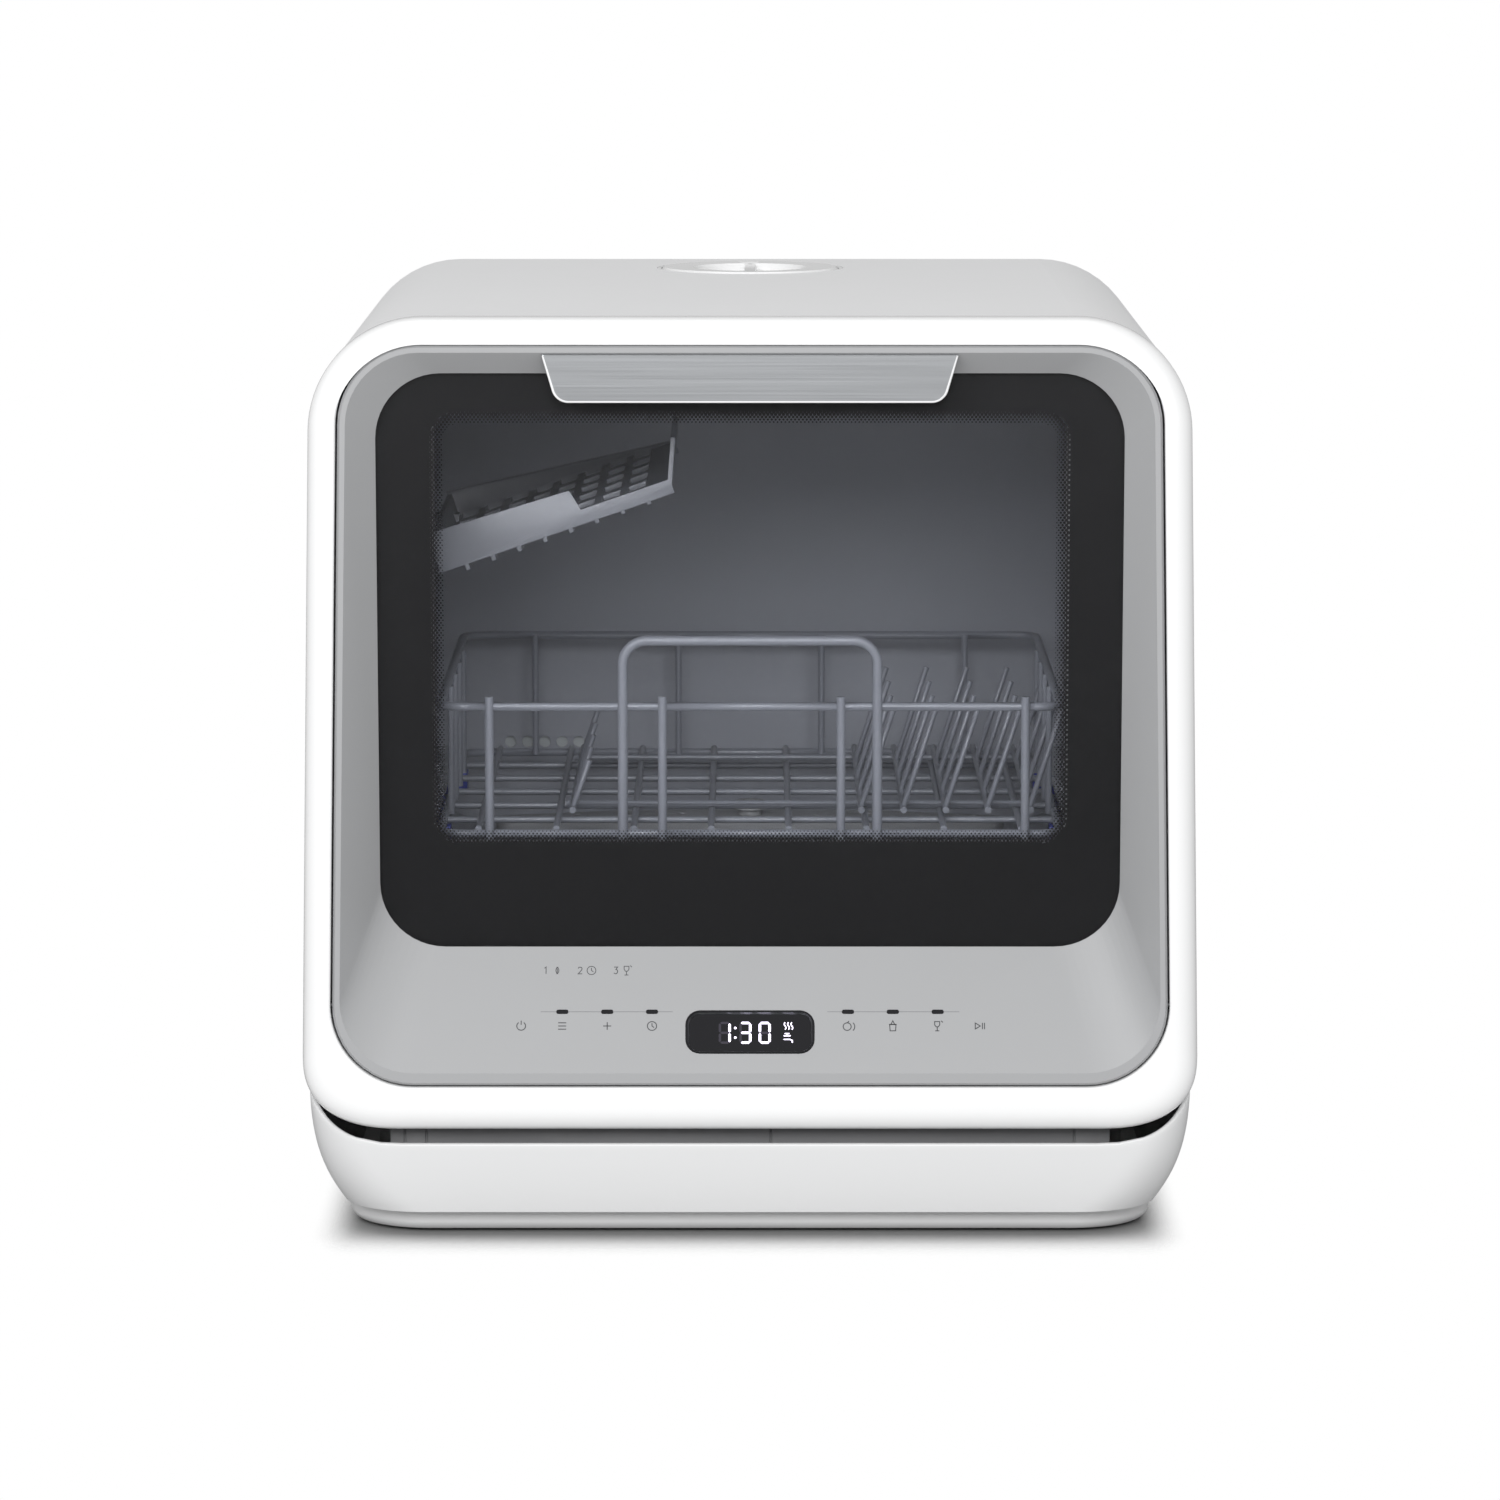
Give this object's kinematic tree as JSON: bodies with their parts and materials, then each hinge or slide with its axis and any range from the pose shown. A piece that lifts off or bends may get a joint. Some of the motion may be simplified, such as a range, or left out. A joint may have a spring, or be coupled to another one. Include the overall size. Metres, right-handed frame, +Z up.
{
  "type": "countertop dishwasher",
  "caption": "Rounded-square countertop dishwasher with a drop-down glass door, sliding wire basket, cup shelf, spray arm, pumps, fan, water tank and filler cap.",
  "frame": {"origin": "centre of the machine's outer box, on the worktop it stands on", "axes": "+X to the right seen from the front, +Y towards the back, +Z up; the door faces -Y"},
  "size_m": [0.4258, 0.44, 0.44],
  "materials": {
    "white_plastic": "smooth satin moulding",
    "white_gloss": "smooth gloss moulding",
    "white_painted": "fine satin white paint",
    "rubber": "soft matt rubber",
    "dark_plastic": "matt dark grey moulding",
    "black_plastic": "matt black moulding",
    "tub_plastic": "satin blue-grey moulding",
    "shelf_plastic": "satin blue-grey moulding",
    "grey_plastic": "satin grey moulding",
    "clear_plastic": "translucent natural moulding",
    "silver_plastic": "fine satin light grey paint",
    "steel": "plain stainless steel",
    "brushed_metal": "lengthwise brushed metal",
    "tinted_glass": "polished tempered glass with a black border",
    "clear_glass": "polished clear glass",
    "black_gloss": "polished black",
    "board": "green circuit board",
    "coated_wire": "blue-grey dipped nylon coating",
    "blue_plastic": "satin blue moulding"
  },
  "bodies": {
    "housing": {"base_shell": "white_plastic", "plinth": "white_plastic", "rubber_feet": "rubber", "front_ring": "white_gloss", "casing": "white_painted", "rear_cover": "white_painted", "front_bulkhead": "dark_plastic", "slot_apron": "dark_plastic", "tub": "tub_plastic", "tub_gasket": "rubber", "basket_rails": "steel", "strike": "steel", "sump": "dark_plastic", "filter_plate": "steel", "hub_post": "grey_plastic", "heater": "steel", "wash_pump": "dark_plastic", "drain_pump": "dark_plastic", "wash_pipes": "rubber", "drain_hose": "grey_plastic", "water_tank": "clear_plastic", "filler_neck": "white_gloss", "fan_housing": "black_plastic", "inlet_valve": "dark_plastic", "drain_spigot": "grey_plastic", "power_gland": "black_plastic", "shelf_pegs": "tub_plastic", "hinge_pins": "steel"},
    "door": {"door_frame": "silver_plastic", "door_glass": "tinted_glass", "door_liner": "grey_plastic", "inner_glass": "clear_glass", "handle": "brushed_metal", "display_bezel": "brushed_metal", "display_lens": "black_gloss", "status_lamps": "black_gloss", "control_board": "board", "latch_tongue": "steel", "dispenser": "dark_plastic"},
    "lid": {"dispenser_lid": "grey_plastic"},
    "basket": {"basket_frame": "coated_wire", "plate_tines": "coated_wire", "basket_glides": "blue_plastic"},
    "shelf": {"cup_shelf": "shelf_plastic"},
    "arm": {"spray_arm": "grey_plastic"},
    "filter": {"filter_cup": "grey_plastic"},
    "cap": {"filler_cap": "white_gloss"},
    "impeller": {"pump_rotor": "grey_plastic"},
    "fan": {"fan_rotor": "black_plastic"}
  },
  "joints": [
    {"name": "door_hinge", "type": "hinge", "parent": "housing", "child": "door", "pos_m": [0, -0.215, 0.1141], "axis": [1, 0, 0], "range_deg": [0, 90]},
    {"name": "lid_hinge", "type": "hinge", "parent": "door", "child": "lid", "pos_m": [-0.0425, -0.1736, 0.1574], "axis": [-1, 0, 0], "range_deg": [0, 85]},
    {"name": "basket_slide", "type": "slide", "parent": "housing", "child": "basket", "axis": [0, -1, 0], "range_m": [0, 0.11]},
    {"name": "shelf_lift", "type": "slide", "parent": "housing", "child": "shelf", "axis": [0, 0, 1], "range_m": [0, 0.016]},
    {"name": "arm_spin", "type": "hinge", "parent": "housing", "child": "arm", "pos_m": [0, 0, 0.1695], "axis": [0, 0, 1], "continuous": true},
    {"name": "filter_turn", "type": "hinge", "parent": "housing", "child": "filter", "pos_m": [0, 0.062, 0.14], "axis": [0, 0, 1], "range_deg": [0, 60]},
    {"name": "cap_lift", "type": "slide", "parent": "housing", "child": "cap", "axis": [0, 0, 1], "range_m": [0, 0.04]},
    {"name": "impeller_spin", "type": "hinge", "parent": "housing", "child": "impeller", "pos_m": [-0.06, 0.031, 0.079], "axis": [1, 0, 0], "continuous": true},
    {"name": "fan_spin", "type": "hinge", "parent": "housing", "child": "fan", "pos_m": [-0.108, 0.19, 0.102], "axis": [0, 1, 0], "continuous": true}
  ],
  "couplings": [
    {"joint": "basket_slide", "follows": "door_hinge", "m_per_rad": 0.07}
  ]
}
